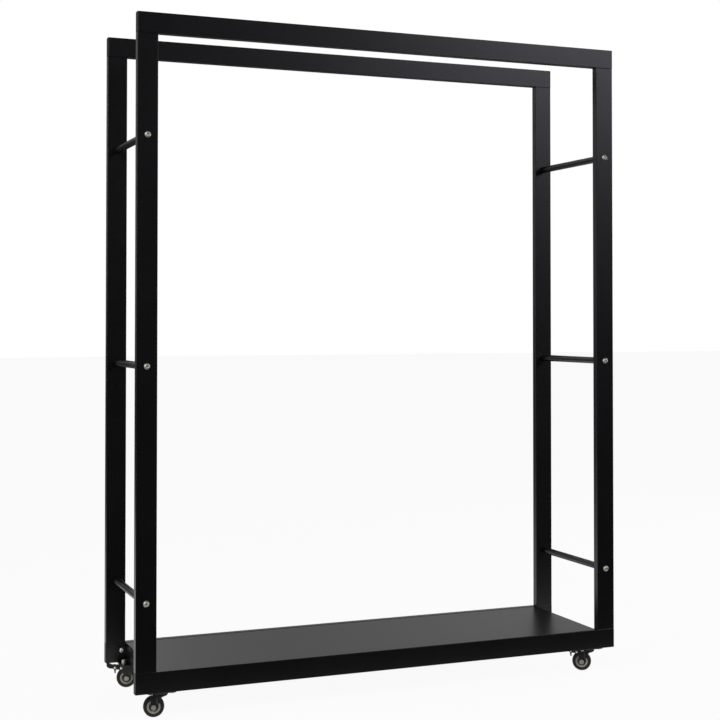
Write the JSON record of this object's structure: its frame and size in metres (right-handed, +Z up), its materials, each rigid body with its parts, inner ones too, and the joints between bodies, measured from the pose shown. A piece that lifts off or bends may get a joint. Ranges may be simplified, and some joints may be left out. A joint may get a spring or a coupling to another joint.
{
  "type": "firewood log rack",
  "caption": "Tall open firewood rack of two black tube frames joined by round side ties, with a low sheet-floored base on swivel casters with foot brakes.",
  "frame": {"origin": "on the floor under the middle of the rack", "axes": "+X along the width, to the right seen from the front; -Y to the front; +Z up"},
  "size_m": [1.1688, 0.3288, 1.5],
  "materials": {
    "black_powder_coat": "satin powder coat with fine orange peel",
    "zinc_plate": "bright zinc plate",
    "black_polyethylene": "moulded satin",
    "caster_black": "thin black electro coat on pressed steel",
    "rubber_tyre": "matt moulded rubber",
    "grey_nylon": "moulded satin"
  },
  "bodies": {
    "rack": {"front_top_rail": "black_powder_coat", "back_top_rail": "black_powder_coat", "front_bottom_rail": "black_powder_coat", "back_bottom_rail": "black_powder_coat", "front_left_post": "black_powder_coat", "front_right_post": "black_powder_coat", "back_left_post": "black_powder_coat", "back_right_post": "black_powder_coat", "left_lower_tie": "black_powder_coat", "left_middle_tie": "black_powder_coat", "left_upper_tie": "black_powder_coat", "right_lower_tie": "black_powder_coat", "right_middle_tie": "black_powder_coat", "right_upper_tie": "black_powder_coat", "left_base_bar": "black_powder_coat", "middle_base_bar": "black_powder_coat", "right_base_bar": "black_powder_coat", "front_left_bracket": "black_powder_coat", "front_right_bracket": "black_powder_coat", "back_left_bracket": "black_powder_coat", "back_right_bracket": "black_powder_coat", "front_middle_bracket": "black_powder_coat", "back_middle_bracket": "black_powder_coat", "floor_panel": "black_powder_coat", "tie_bolts": "zinc_plate", "corner_bolts": "zinc_plate", "base_bolts": "zinc_plate", "thread_inserts": "zinc_plate", "rivet_nuts": "zinc_plate", "hole_plugs": "black_polyethylene", "rail_end_caps": "black_polyethylene", "swivel_balls": "zinc_plate", "front_left_plate": "caster_black", "front_left_king_pin": "zinc_plate", "front_right_plate": "caster_black", "front_right_king_pin": "zinc_plate", "back_left_plate": "caster_black", "back_left_king_pin": "zinc_plate", "back_right_plate": "caster_black", "back_right_king_pin": "zinc_plate"},
    "front_left_fork_body": {"front_left_fork": "caster_black", "front_left_axle_bolt": "zinc_plate"},
    "front_left_wheel": {"front_left_tyre": "rubber_tyre", "front_left_hub": "grey_nylon"},
    "front_right_fork_body": {"front_right_fork": "caster_black", "front_right_axle_bolt": "zinc_plate", "front_right_pedal_pins": "zinc_plate"},
    "front_right_wheel": {"front_right_tyre": "rubber_tyre", "front_right_hub": "grey_nylon"},
    "front_right_brake": {"front_right_pedal": "caster_black"},
    "back_left_fork_body": {"back_left_fork": "caster_black", "back_left_axle_bolt": "zinc_plate", "back_left_pedal_pins": "zinc_plate"},
    "back_left_wheel": {"back_left_tyre": "rubber_tyre", "back_left_hub": "grey_nylon"},
    "back_left_brake": {"back_left_pedal": "caster_black"},
    "back_right_fork_body": {"back_right_fork": "caster_black", "back_right_axle_bolt": "zinc_plate"},
    "back_right_wheel": {"back_right_tyre": "rubber_tyre", "back_right_hub": "grey_nylon"}
  },
  "joints": [
    {"name": "front_left_swivel", "type": "hinge", "parent": "rack", "child": "front_left_fork_body", "pos_m": [-0.525, -0.133, 0.05], "axis": [0, 0, 1], "continuous": true},
    {"name": "front_left_spin", "type": "hinge", "parent": "front_left_fork_body", "child": "front_left_wheel", "pos_m": [-0.53761, -0.12985, 0.0225], "axis": [0.2419, 0.9703, 0], "continuous": true},
    {"name": "front_right_swivel", "type": "hinge", "parent": "rack", "child": "front_right_fork_body", "pos_m": [0.525, -0.133, 0.05], "axis": [0, 0, 1], "continuous": true},
    {"name": "front_right_spin", "type": "hinge", "parent": "front_right_fork_body", "child": "front_right_wheel", "pos_m": [0.51386, -0.1263, 0.0225], "axis": [0.515, 0.8572, 0], "continuous": true},
    {"name": "front_right_brake_hinge", "type": "hinge", "parent": "front_right_fork_body", "child": "front_right_brake", "pos_m": [0.49157, -0.11291, 0.0475], "axis": [0.515, 0.8572, 0], "range_deg": [-25, 0]},
    {"name": "back_left_swivel", "type": "hinge", "parent": "rack", "child": "back_left_fork_body", "pos_m": [-0.525, 0.133, 0.05], "axis": [0, 0, 1], "continuous": true},
    {"name": "back_left_spin", "type": "hinge", "parent": "back_left_fork_body", "child": "back_left_wheel", "pos_m": [-0.53772, 0.1357, 0.0225], "axis": [0.2079, 0.9781, 0], "continuous": true},
    {"name": "back_left_brake_hinge", "type": "hinge", "parent": "back_left_fork_body", "child": "back_left_brake", "pos_m": [-0.56315, 0.14111, 0.0475], "axis": [0.2079, 0.9781, 0], "range_deg": [-25, 0]},
    {"name": "back_right_swivel", "type": "hinge", "parent": "rack", "child": "back_right_fork_body", "pos_m": [0.525, 0.133, 0.05], "axis": [0, 0, 1], "continuous": true},
    {"name": "back_right_spin", "type": "hinge", "parent": "back_right_fork_body", "child": "back_right_wheel", "pos_m": [0.51363, 0.1393, 0.0225], "axis": [0.4848, 0.8746, 0], "continuous": true}
  ]
}
